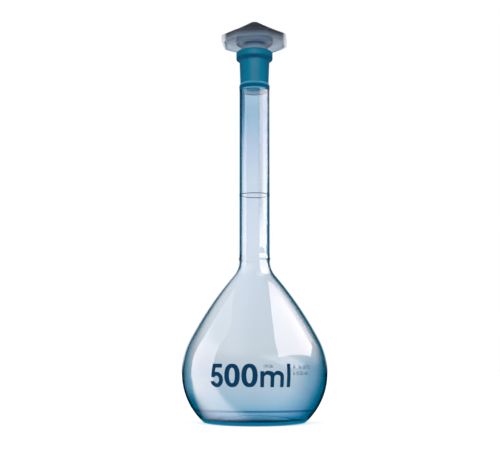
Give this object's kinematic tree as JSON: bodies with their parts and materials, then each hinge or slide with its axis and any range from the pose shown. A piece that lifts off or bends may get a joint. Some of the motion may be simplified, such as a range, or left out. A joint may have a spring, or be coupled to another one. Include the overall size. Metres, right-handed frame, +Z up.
{
  "type": "volumetric flask",
  "caption": "Pear-shaped clear glass volumetric flask with a long narrow neck, a ring mark and a ground socket, closed by a translucent plastic stopper that lifts out.",
  "frame": {"origin": "centre of the ring that the flask stands on", "axes": "+Z up along the neck, -Y towards the viewer of the picture"},
  "size_m": [0.1, 0.1, 0.284],
  "materials": {
    "clear_glass": "clear and polished",
    "ground_glass": "clear outside, finely ground inside",
    "blue_enamel": "fired enamel, gloss",
    "stopper_plastic": "translucent satin"
  },
  "bodies": {
    "flask": {"bulb": "clear_glass", "neck_tube": "clear_glass", "ground_socket": "ground_glass", "ring_mark": "blue_enamel"},
    "stopper": {"stopper": "stopper_plastic"}
  },
  "joints": [
    {"name": "stopper_lift", "type": "slide", "parent": "flask", "child": "stopper", "axis": [0, 0, 1], "range_m": [0, 0.05]}
  ]
}
